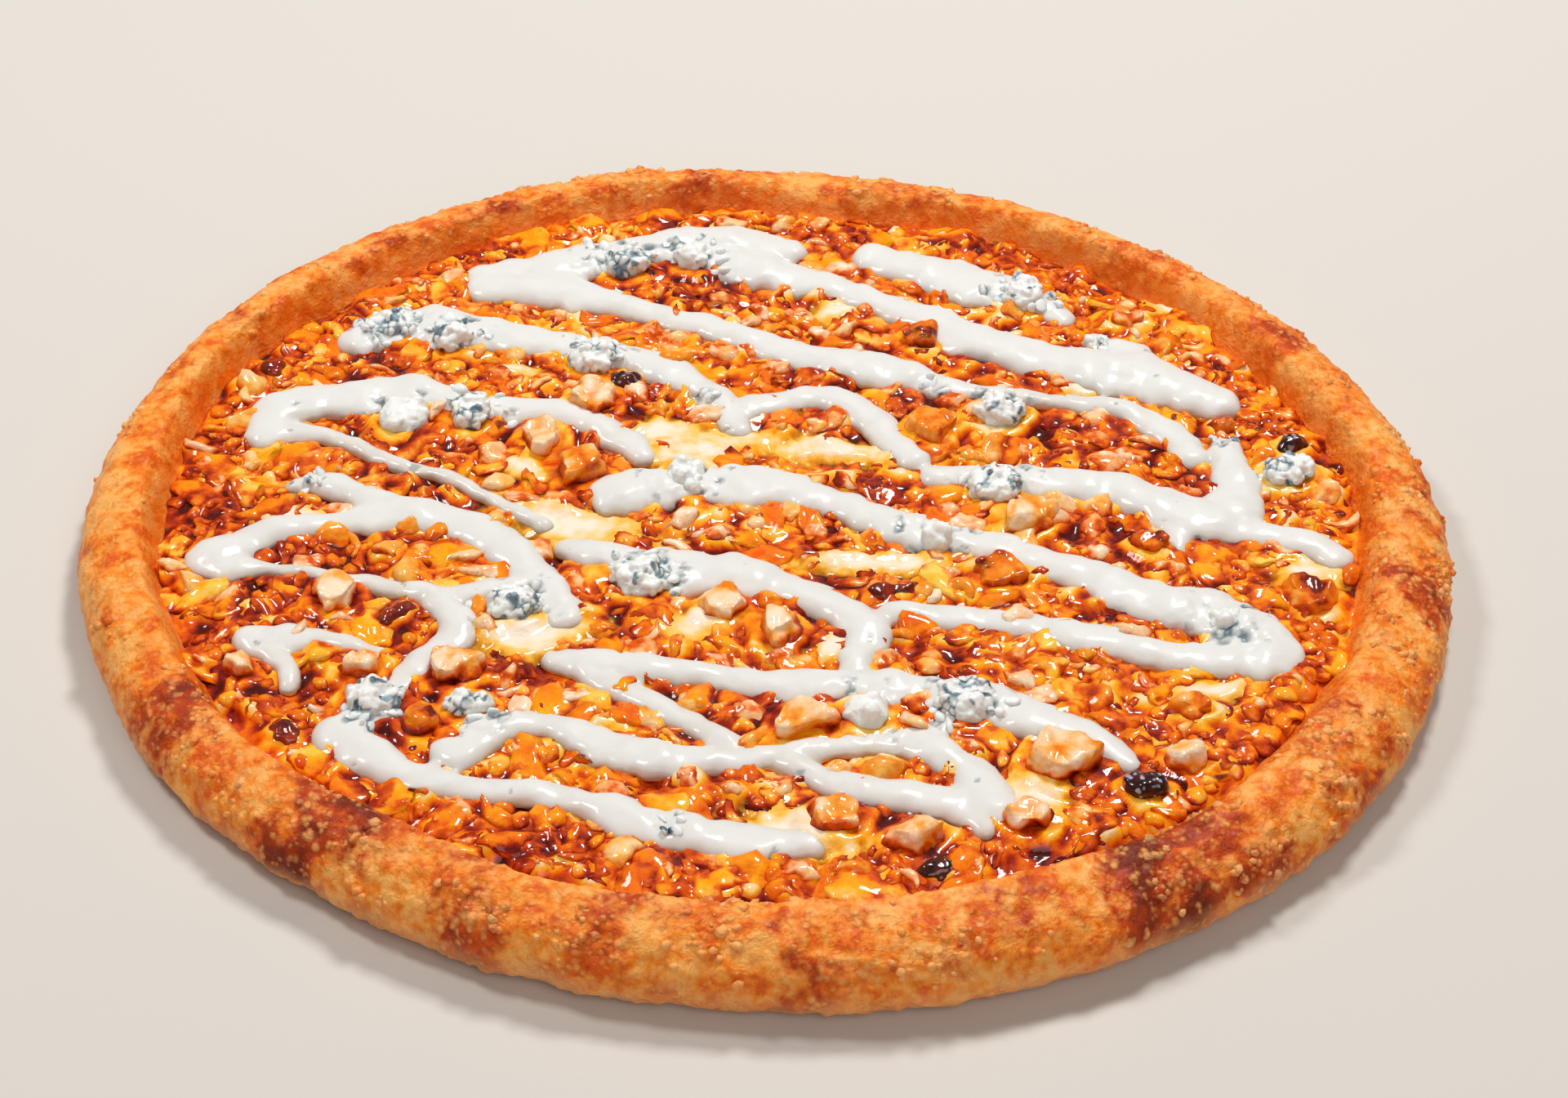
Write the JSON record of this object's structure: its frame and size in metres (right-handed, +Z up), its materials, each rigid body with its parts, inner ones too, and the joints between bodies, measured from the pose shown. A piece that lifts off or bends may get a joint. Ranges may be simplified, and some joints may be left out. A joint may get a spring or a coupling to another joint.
{
  "type": "pan pizza",
  "caption": "Whole round pan pizza with a puffed golden rim, a saucy cheese bed, trailed white dressing, crumbled blue cheese and diced chicken.",
  "frame": {"origin": "centre of the underside, on the surface the pizza rests on", "axes": "+Z up; +X to the right and +Y away from the viewer, as the pizza is seen in its picture"},
  "size_m": [0.3632, 0.3544, 0.0226],
  "materials": {
    "baked_crust": "matte, golden brown",
    "sauce_and_cheese": "glossy, with white dressing",
    "blue_cheese": "soft, veined",
    "diced_chicken": "glossy glaze",
    "charred_bits": "dark glaze"
  },
  "bodies": {
    "root": {"blue_cheese_01": "blue_cheese", "blue_cheese_02": "blue_cheese", "blue_cheese_03": "blue_cheese", "blue_cheese_04": "blue_cheese", "blue_cheese_05": "blue_cheese", "blue_cheese_06": "blue_cheese", "blue_cheese_07": "blue_cheese", "blue_cheese_08": "blue_cheese", "blue_cheese_09": "blue_cheese", "blue_cheese_10": "blue_cheese", "blue_cheese_11": "blue_cheese", "blue_cheese_12": "blue_cheese", "blue_cheese_13": "blue_cheese", "blue_cheese_14": "blue_cheese", "blue_cheese_15": "blue_cheese", "blue_cheese_16": "blue_cheese", "blue_cheese_17": "blue_cheese", "blue_cheese_18": "blue_cheese", "blue_cheese_19": "blue_cheese", "blue_cheese_20": "blue_cheese", "charred_01": "charred_bits", "charred_02": "charred_bits", "charred_03": "charred_bits", "charred_04": "charred_bits", "charred_05": "charred_bits", "charred_06": "charred_bits", "charred_07": "charred_bits", "charred_08": "charred_bits", "chicken_01": "diced_chicken", "chicken_02": "diced_chicken", "chicken_03": "diced_chicken", "chicken_04": "diced_chicken", "chicken_05": "diced_chicken", "chicken_06": "diced_chicken", "chicken_07": "diced_chicken", "chicken_08": "diced_chicken", "chicken_09": "diced_chicken", "chicken_10": "diced_chicken", "chicken_11": "diced_chicken", "chicken_12": "diced_chicken", "chicken_13": "diced_chicken", "chicken_14": "diced_chicken", "chicken_15": "diced_chicken", "chicken_16": "diced_chicken", "chicken_17": "diced_chicken", "chicken_18": "diced_chicken", "chicken_19": "diced_chicken", "chicken_20": "diced_chicken", "chicken_21": "diced_chicken", "chicken_22": "diced_chicken", "chicken_23": "diced_chicken", "chicken_24": "diced_chicken", "chicken_25": "diced_chicken", "crust": "baked_crust", "topping": "sauce_and_cheese"}
  },
  "joints": []
}
